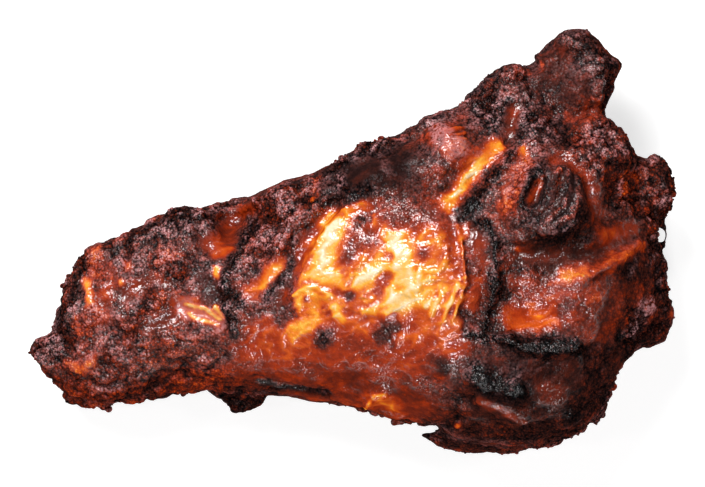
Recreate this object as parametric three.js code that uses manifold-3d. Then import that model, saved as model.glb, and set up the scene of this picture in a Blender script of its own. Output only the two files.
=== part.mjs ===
// One barbecued chicken wing drumette: a single solid of meat, skin and bone, lying on its side.
// Millimetres, +Z up. +X runs from the elbow knuckle to the shoulder end, +Y to the back edge.
// The origin is under the middle of the piece, on the surface that it lies on.
import * as THREE from "three";
import { mergeVertices } from "three/addons/utils/BufferGeometryUtils.js";
import Module from "manifold-3d";

// Overall size, which the finished solid is brought to.
const LENGTH = 94.3;
const WIDTH = 62.5;

// Mesh fineness: the size of the cells that the skin is netted through, and the box that they fill.
const CELL = 2;
const CELLS_FROM = new THREE.Vector3(-52, -36, -5);
const CELLS_TO = new THREE.Vector3(52, 36, 36);

// Cross-sections from the knuckle to the shoulder end: place along X, back and front edge in Y,
// underside and crown in Z. An underside below zero is flattened by the surface it lies on.
const SECTIONS = [
  { at: -43.2, back: -4, front: -23.4, under: 3.5, crown: 13.5 },
  { at: -38, back: 0.8, front: -25, under: 1.2, crown: 17 },
  { at: -25, back: 4.6, front: -22.2, under: 0.3, crown: 18.5 },
  { at: -10, back: 8.4, front: -22.7, under: -0.5, crown: 22 },
  { at: 5, back: 14.7, front: -25.2, under: -0.7, crown: 26 },
  { at: 19, back: 20.8, front: -29, under: -0.7, crown: 29 },
  { at: 31, back: 20, front: -29.4, under: -0.3, crown: 27 },
  { at: 39, back: 15.3, front: -23.2, under: 1.8, crown: 22 },
  { at: 45.2, back: 8.6, front: -14, under: 4.5, crown: 17 },
];
const WAIST = 0.42; // height of the widest line, as a share of a section's height
const PLUMPNESS = 2.25; // exponent of the section's superellipse, 2 being an ellipse
const BLUNTNESS = 7; // exponent that closes the two ends

// Swellings (rise above zero) and hollows of the upper skin: place in plan, reach over it, rise.
const SWELLINGS = [
  { name: "muscle belly", x: 5, y: -3, reach: 12, rise: 1.2 },
  { name: "dark dome", x: 2.5, y: 9.5, reach: 4.6, rise: 3 },
  { name: "fan dome", x: 13, y: 14.5, reach: 5, rise: 2.6 },
  { name: "back lump", x: -9.5, y: 5.5, reach: 4.2, rise: 2 },
  { name: "knuckle lump", x: -25, y: 3, reach: 3.6, rise: 1.6 },
  { name: "rolled fold", x: 28.5, y: 5.5, reach: 4.8, rise: 3.4 },
  { name: "shoulder lump", x: 36, y: 12, reach: 4.6, rise: 2.6 },
  { name: "end swelling", x: 38, y: -6, reach: 6, rise: 1.6 },
  { name: "back pocket", x: -16.5, y: 2.5, reach: 3.4, rise: -2.2 },
  { name: "fat streak", x: 17, y: 9, reach: 3.2, rise: -2 },
  { name: "shoulder hollow", x: 25.5, y: -7, reach: 4.2, rise: -2.2 },
];

// Valley in the skin between the muscle belly and the shoulder folds.
const CREASE = { x: 19.5, from: 8, to: -14, steps: 6, reach: 2.8, rise: -1.4 };

// Knobs and tatters of torn skin that grow out of the body: centre, half sizes, turn about Z in
// degrees, and how far the skin runs smoothly from one into the other.
const KNOBS = [
  { name: "horn", at: [32.6, 23.2, 13], half: [6.1, 8.5, 6.2], turn: 4, blend: 2.5 },
  { name: "horn shoulder", at: [23, 20.3, 14], half: [5.6, 5.6, 6], turn: 20, blend: 3 },
  { name: "horn spur", at: [37.7, 25.2, 12], half: [3, 1.9, 2], turn: 8, blend: 1.5 },
  { name: "side lump", at: [36.2, 11.6, 13], half: [5.6, 6, 6], turn: 0, blend: 3 },
  { name: "side knob", at: [44.9, 8.6, 11.5], half: [2.6, 4.4, 4], turn: 4, blend: 1.4 },
  { name: "end bead", at: [43.8, -11.6, 9.5], half: [2.6, 3, 3], turn: 0, blend: 3 },
  { name: "belly flap", at: [20.4, -28.05, 4.2], half: [10.6, 3.2, 3.4], turn: -2, blend: 4 },
  { name: "skin crumb", at: [-16.2, -22.2, 6.4], half: [2.8, 2.9, 2.2], turn: 15, blend: 1.5 },
  { name: "knuckle spur", at: [-43.4, -16.8, 8], half: [3.4, 2.4, 3.2], turn: -20, blend: 2.5 },
];

const wasm = await Module();
wasm.setup();

// A closed three.js geometry as a solid that can be joined and cut.
function solidOf(geometry) {
  const merged = mergeVertices(bareGeometry(geometry), 1e-4);
  return new wasm.Manifold(
    new wasm.Mesh({
      numProp: 3,
      vertProperties: new Float32Array(merged.attributes.position.array),
      triVerts: new Uint32Array(merged.index.array),
    }),
  );
}

// A geometry with its positions alone, so that its seams can be closed.
function bareGeometry(geometry) {
  const bare = geometry.clone();
  bare.deleteAttribute("normal");
  bare.deleteAttribute("uv");
  return bare;
}

// A solid back as a three.js geometry.
function geometryOf(solid) {
  const mesh = solid.getMesh();
  return new THREE.BufferGeometry()
    .setAttribute("position", new THREE.BufferAttribute(mesh.vertProperties, 3))
    .setIndex(new THREE.BufferAttribute(mesh.triVerts, 1));
}

// One measure of the sections at a place along the piece, on a smooth curve through the stated ones.
function measureAt(x, key) {
  const next = SECTIONS.findIndex((s) => s.at > x);
  const i = THREE.MathUtils.clamp(next < 0 ? SECTIONS.length : next, 1, SECTIONS.length - 1);
  const [a, b] = [SECTIONS[i - 1], SECTIONS[i]];
  const [before, after] = [SECTIONS[Math.max(i - 2, 0)], SECTIONS[Math.min(i + 1, SECTIONS.length - 1)]];
  const slope = (from, to) => (to[key] - from[key]) / (to.at - from.at);
  const span = b.at - a.at;
  const t = THREE.MathUtils.clamp((x - a.at) / span, 0, 1);
  const level = THREE.MathUtils.lerp(a[key], b[key], t * t * (3 - 2 * t));
  const leaving = t * (1 - t) ** 2 * span * slope(before, b);
  const arriving = t ** 2 * (t - 1) * span * slope(a, after);
  return level + leaving + arriving;
}

// The section at a place along the piece.
function sectionAt(x) {
  const [back, front, under, crown] = ["back", "front", "under", "crown"].map((key) => measureAt(x, key));
  const waist = under + WAIST * (crown - under);
  return { middle: (back + front) / 2, side: (back - front) / 2, under, crown, waist };
}

// How far the skin of the upper side stands out or sinks in at a place in plan.
function swellingAt(x, y) {
  const bump = (at, s) => s.rise * Math.exp(-((x - at.x) ** 2 + (y - at.y) ** 2) / s.reach ** 2);
  let total = SWELLINGS.reduce((sum, s) => sum + bump(s, s), 0);
  for (let i = 0; i < CREASE.steps; i++) {
    const y = THREE.MathUtils.lerp(CREASE.from, CREASE.to, i / (CREASE.steps - 1));
    total += bump({ x: CREASE.x, y }, CREASE);
  }
  return total;
}

// Rough distance from the drumette's body, below zero inside it.
function bodyDistance(p) {
  const { middle, side, under, crown, waist } = sectionAt(p.x);
  const height = p.z > waist ? crown - waist : waist - under;
  const across = Math.abs(p.y - middle) / side;
  const up = Math.abs(p.z - waist) / height;
  const round = (across ** PLUMPNESS + up ** PLUMPNESS) ** (1 / PLUMPNESS);
  const [first, last] = [SECTIONS[0].at, SECTIONS.at(-1).at];
  const along = Math.abs((2 * p.x - first - last) / (last - first));
  const closed = (round ** BLUNTNESS + along ** BLUNTNESS) ** (1 / BLUNTNESS);
  const upperSide = THREE.MathUtils.smoothstep(p.z, waist - 2, waist + 6);
  return (closed - 1) * Math.min(side, height) - upperSide * swellingAt(p.x, p.y);
}

// Rough distance from a knob, an ellipsoid turned about Z.
function knobDistance(p, knob) {
  const local = p.clone().sub(new THREE.Vector3(...knob.at));
  local.applyAxisAngle(new THREE.Vector3(0, 0, 1), -THREE.MathUtils.degToRad(knob.turn));
  const half = new THREE.Vector3(...knob.half);
  const near = local.divide(half);
  const reach = near.length();
  const slope = near.clone().divide(half).length();
  return slope > 0 ? (reach * (reach - 1)) / slope : -Math.min(...knob.half);
}

// The smaller of two distances, run together over a blend.
function joined(a, b, blend) {
  const overlap = Math.max(blend - Math.abs(a - b), 0) / blend;
  return Math.min(a, b) - (overlap ** 2 * blend) / 4;
}

// Rough distance from the whole wing, below zero inside it.
function wingDistance(p) {
  return KNOBS.reduce(
    (distance, knob) => joined(distance, knobDistance(p, knob), knob.blend),
    bodyDistance(p),
  );
}

// The eight corners of a cell, and the pairs of them that its edges join.
const CORNERS = [0, 1].flatMap((k) => [0, 1].flatMap((j) => [0, 1].map((i) => new THREE.Vector3(i, j, k))));
const EDGES = CORNERS.flatMap((a) =>
  CORNERS.filter((b) => b.distanceTo(a) === 1 && b.length() > a.length()).map((b) => [a, b]),
);

// The wing's skin: one point in each cell that the surface crosses, at the mean of the crossings of its
// edges, and a four-sided face round each edge whose ends lie on different sides of the surface.
function skinGeometry() {
  const count = CELLS_TO.clone().sub(CELLS_FROM).divideScalar(CELL).ceil();
  const steps = new THREE.Vector3(1, count.x, count.x * count.y);
  const placeOf = (node) =>
    new THREE.Vector3(node % steps.y, Math.floor((node % steps.z) / steps.y), Math.floor(node / steps.z));
  const inSpace = (place) => place.multiplyScalar(CELL).add(CELLS_FROM);
  const distances = Array.from({ length: count.x * count.y * count.z }, (_, node) =>
    wingDistance(inSpace(placeOf(node))),
  );

  const points = [];
  const pointOf = new Map();
  const pointIn = (cell) => {
    if (!pointOf.has(cell)) {
      const mean = new THREE.Vector3();
      let crossings = 0;
      for (const [a, b] of EDGES) {
        const [near, far] = [distances[cell + a.dot(steps)], distances[cell + b.dot(steps)]];
        if (near < 0 === far < 0) continue;
        mean.add(a.clone().lerp(b, near / (near - far)));
        crossings += 1;
      }
      pointOf.set(cell, points.length / 3);
      points.push(...inSpace(mean.divideScalar(crossings).add(placeOf(cell))));
    }
    return pointOf.get(cell);
  };

  const faces = [];
  const axes = ["x", "y", "z"];
  distances.forEach((here, node) => {
    for (let axis = 0; axis < 3; axis++) {
      const [along, across, up] = [0, 1, 2].map((turn) => steps[axes[(axis + turn) % 3]]);
      const there = distances[node + along];
      if (there === undefined || here < 0 === there < 0) continue;
      const around = [node - across - up, node - up, node, node - across];
      const [a, b, c, d] = (here < 0 ? around : around.reverse()).map(pointIn);
      faces.push(a, b, c, a, c, d);
    }
  });
  return new THREE.BufferGeometry()
    .setAttribute("position", new THREE.Float32BufferAttribute(points, 3))
    .setIndex(faces);
}

// Everything below the surface that the piece lies on.
function belowSurface() {
  const deep = 20;
  return new THREE.BoxGeometry(2 * LENGTH, 2 * WIDTH, deep).translate(0, 0, -deep / 2);
}

const wingSolid = solidOf(skinGeometry()).subtract(solidOf(belowSurface()));

// The box is centred over the origin and brought to the overall size.
const wingGeometry = geometryOf(wingSolid);
wingGeometry.computeBoundingBox();
const { min, max } = wingGeometry.boundingBox;
wingGeometry.translate(-(min.x + max.x) / 2, -(min.y + max.y) / 2, 0);
wingGeometry.scale(LENGTH / (max.x - min.x), WIDTH / (max.y - min.y), 1);
wingGeometry.computeVertexNormals();

const roastedSkin = new THREE.MeshStandardMaterial({
  color: 0x8a3512,
  roughness: 0.4,
  metalness: 0,
});

const wing = new THREE.Mesh(wingGeometry, roastedSkin);
wing.name = "wing";

const drumette = new THREE.Group();
drumette.add(wing);

export default drumette;
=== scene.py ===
"""One barbecued chicken wing drumette: glazed skin, crust and char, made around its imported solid."""
import itertools
import math
from collections import namedtuple

import bmesh
import bpy
import numpy as np
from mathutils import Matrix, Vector
from mathutils.bvhtree import BVHTree


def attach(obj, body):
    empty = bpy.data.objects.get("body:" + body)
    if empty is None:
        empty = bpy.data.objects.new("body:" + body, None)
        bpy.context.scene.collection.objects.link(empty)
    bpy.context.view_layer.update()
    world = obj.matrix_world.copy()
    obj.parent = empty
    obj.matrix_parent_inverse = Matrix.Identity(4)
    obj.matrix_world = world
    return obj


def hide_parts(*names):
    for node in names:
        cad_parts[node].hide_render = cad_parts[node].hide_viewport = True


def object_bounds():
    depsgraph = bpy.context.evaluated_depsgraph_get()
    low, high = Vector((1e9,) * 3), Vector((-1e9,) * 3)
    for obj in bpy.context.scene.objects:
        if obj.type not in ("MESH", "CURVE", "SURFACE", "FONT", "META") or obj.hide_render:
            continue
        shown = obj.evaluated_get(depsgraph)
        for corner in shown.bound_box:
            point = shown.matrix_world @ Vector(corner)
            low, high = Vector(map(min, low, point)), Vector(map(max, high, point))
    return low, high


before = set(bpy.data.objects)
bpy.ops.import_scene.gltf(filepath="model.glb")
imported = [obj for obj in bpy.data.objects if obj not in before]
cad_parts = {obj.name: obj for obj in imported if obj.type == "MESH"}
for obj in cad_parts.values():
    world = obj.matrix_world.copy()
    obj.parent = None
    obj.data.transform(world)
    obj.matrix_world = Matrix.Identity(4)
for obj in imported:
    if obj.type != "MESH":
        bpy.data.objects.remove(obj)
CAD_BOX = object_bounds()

# Scale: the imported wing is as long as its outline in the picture, which is looked at from straight above.
MM = 0.001
PICTURE_SIZE = (705, 487)
PICTURE_MIDDLE = (352, 243)
OUTLINE_PIXELS = 646
PIXEL = (CAD_BOX[1][0] - CAD_BOX[0][0]) / OUTLINE_PIXELS

# Fineness of the skin, in metres, and the rounds of smoothing that take away the steps of its cells. Points
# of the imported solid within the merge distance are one. The skin's upper part has so many triangles.
CORE_VOXEL = 0.42 * MM
CORE_SMOOTHING = 6
SKIN_VOXEL = 0.28 * MM
SKIN_SMOOTHING = 2
SMOOTHING_FACTOR = 0.5
MERGE_DISTANCE = 0.001 * MM
UPPER_TRIANGLES = 190000

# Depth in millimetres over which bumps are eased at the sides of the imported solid's box, and the number of
# such depths by which its floor is lowered, so that the flat spot below isn't eased.
BOX_EASE = 0.3
FLOOR_ROOM = 9

# A fold is a string of beads that swells out of the skin. Its path is in picture pixels, its radii in
# millimetres along the path, and its height is that of its middle, or None where it lies on the skin.
Fold = namedtuple("Fold", "name path radii height")
FOLDS = [
    Fold("ear", [(549, 184), (560, 190), (563, 206), (556, 220), (543, 226)],
         [2.2, 2.8, 3.1, 2.9, 2.0], None),
    Fold("ear lip", [(535, 171), (523, 188), (517, 206)], [1.4, 1.5, 1.2], None),
    Fold("char lip", [(508, 157), (489, 180), (471, 200), (453, 219)], [1.2, 1.8, 1.9, 0.7], None),
    Fold("shoulder lumps", [(580, 134), (598, 131), (612, 144), (620, 162)], [2.2, 2.4, 2.4, 2.2], None),
    Fold("shoulder inner lump", [(592, 152), (610, 164)], [2.0, 2.2], None),
    Fold("edge knob", [(657, 165), (662, 182), (662, 200)], [2.0, 2.4, 2.2], 11.5),
    Fold("horn ridge", [(567, 46), (585, 52), (597, 73), (594, 100)], [2.0, 2.0, 1.6, 1.3], None),
    Fold("horn lip", [(537, 57), (546, 66), (545, 76), (535, 82)], [0.9, 1.1, 1.1, 0.8], None),
    Fold("spur tip", [(602, 75), (614, 76), (624, 73)], [2.0, 1.1, 0.5], 12.0),
    Fold("skin loop", [(648, 217), (660, 219), (667, 231), (665, 245), (653, 254)],
         [1.0, 0.8, 0.6, 0.8, 1.2], 11.0),
    Fold("end beads", [(658, 270), (660, 292), (667, 313), (662, 332)], [1.2, 1.4, 1.3, 1.2], 9.5),
    Fold("knuckle spur", [(54, 352), (42, 354), (31, 350)], [1.9, 1.1, 0.4], 8.0),
    Fold("knuckle foot", [(70, 397), (84, 401), (104, 402)], [1.4, 1.6, 1.4], 6.4),
    Fold("flap tip", [(480, 441), (450, 440), (424, 437)], [2.2, 1.5, 0.5], 4.6),
    Fold("flap drip", [(458, 447), (459, 455)], [0.9, 0.4], 4.0),
    Fold("burnt crumb", [(231, 399), (242, 405), (262, 401)], [1.0, 1.4, 1.1], 6.4),
    Fold("crumb knob", [(232, 408), (240, 411)], [0.8, 0.6], 6.0),
    Fold("loose bit", [(394, 423), (407, 422)], [0.5, 0.8], 7.0),
    Fold("skin tatter", [(364, 396), (378, 408), (402, 412)], [0.7, 1.0, 0.9], None),
    Fold("back lumps, knuckle", [(83, 263), (97, 255), (114, 249), (134, 241), (154, 231)],
         [1.6, 1.4, 1.6, 1.5, 1.7], None),
    Fold("back lump, high", [(174, 217), (186, 216), (199, 219)], [1.6, 2.0, 1.6], None),
    Fold("back lumps, middle", [(216, 216), (242, 212), (266, 206), (289, 196), (309, 189)],
         [1.2, 1.2, 1.8, 2.0, 1.8], None),
    Fold("back lumps, dome", [(333, 181), (351, 168), (370, 156), (391, 149)], [1.8, 1.8, 2.0, 1.5], None),
    Fold("back lumps, fan", [(414, 137), (428, 125), (450, 116)], [1.3, 1.3, 1.4], None),
    Fold("back lumps, horn", [(478, 104), (494, 84), (507, 75), (519, 73)], [1.6, 1.4, 1.4, 1.3], None),
    Fold("diagonal ridge", [(330, 196), (300, 226), (282, 250), (268, 282)], [1.8, 1.8, 1.6, 1.2], None),
    Fold("bead line", [(252, 222), (240, 250), (228, 276), (226, 300), (236, 330)],
         [0.7, 0.9, 0.8, 0.9, 0.8], None),
    Fold("knuckle rim", [(82, 268), (77, 300), (71, 328)], [1.4, 1.4, 1.4], None),
    Fold("char line", [(489, 222), (492, 250), (490, 280), (487, 312), (482, 332)],
         [0.7, 1.0, 1.2, 0.8, 0.8], None),
    Fold("char bank", [(492, 334), (520, 342), (546, 344), (572, 346)], [0.9, 1.4, 1.2, 0.8], None),
    Fold("char blisters", [(480, 376), (484, 384)], [1.9, 1.7], None),
    Fold("char blister, right", [(507, 384), (513, 390)], [1.7, 1.4], None),
    Fold("orange ridge", [(548, 283), (576, 276), (606, 263), (634, 242)], [1.0, 1.5, 1.6, 1.0], None),
]

# Beads follow each other at this step in picture pixels. A bead on the skin comes straight down from the
# ray's start, in metres. Where it misses the wing, it goes to the skin nearest to the bead height, in
# millimetres.
BEAD_STEP = 3
BEAD_HEIGHT = 12.0
RAY_START = CAD_BOX[1][2] + 10 * MM

# Gaps that go right through, as outlines in picture pixels, from below the table to above the wing.
GAP_BOTTOM = -1 * MM
GAP_HEIGHT = 40 * MM
Gap = namedtuple("Gap", "name outline")
GAPS = [
    Gap("flap slit", [(404, 420), (420, 424), (438, 424), (452, 429), (440, 432), (426, 434), (404, 434)]),
    Gap("loop hole", [(656, 229), (663, 227), (665, 234), (662, 241), (658, 245), (655, 238)]),
    Gap("above knuckle spur", [(16, 296), (56, 318), (50, 334), (41, 340), (30, 346), (16, 346)]),
    Gap("below knuckle spur", [(16, 354), (31, 354), (42, 369), (52, 382), (40, 396), (16, 396)]),
    Gap("above edge knob", [(636, 156), (646, 161), (650, 154), (650, 130), (632, 130)]),
    Gap("beside lower shoulder",
        [(650, 350), (640, 350), (623, 360), (613, 378), (607, 402), (640, 402), (660, 372)]),
    Gap("behind knuckle", [(116, 239), (128, 233), (140, 228), (148, 221), (148, 205), (110, 215)]),
    Gap("left of horn", [(530, 59), (538, 57), (547, 46), (558, 38), (565, 31), (565, 18), (530, 18)]),
    Gap("right of horn", [(580, 31), (594, 38), (602, 47), (612, 40), (600, 18), (580, 18)]),
    Gap("under horn spur",
        [(613, 90), (607, 102), (602, 113), (604, 123), (613, 127), (630, 120), (630, 90)]),
    Gap("below flap", [(512, 454), (530, 449), (548, 446), (562, 442), (562, 470), (512, 470)]),
]

# A mark is a stroke over the upper side. Its path and reach are in picture pixels. Browning runs from 0,
# pale fat, over gold, orange, red and brown to 1, black. Crust runs from 0, smooth glossy skin, to 1,
# grainy. Lift is in millimetres.
Mark = namedtuple("Mark", "name path reach browning crust lift")
FAN_CORNER = (426, 139)
FAN_ANGLES = range(-18, 74, 9)
FAN_START = (18, 18)
FAN_END = (38, 34)


def fan_spot(angle, radii):
    """The spot at an angle in degrees on an oval around the fan's corner."""
    turn = math.radians(angle)
    return FAN_CORNER[0] + radii[0] * math.cos(turn), FAN_CORNER[1] + radii[1] * math.sin(turn)


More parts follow.
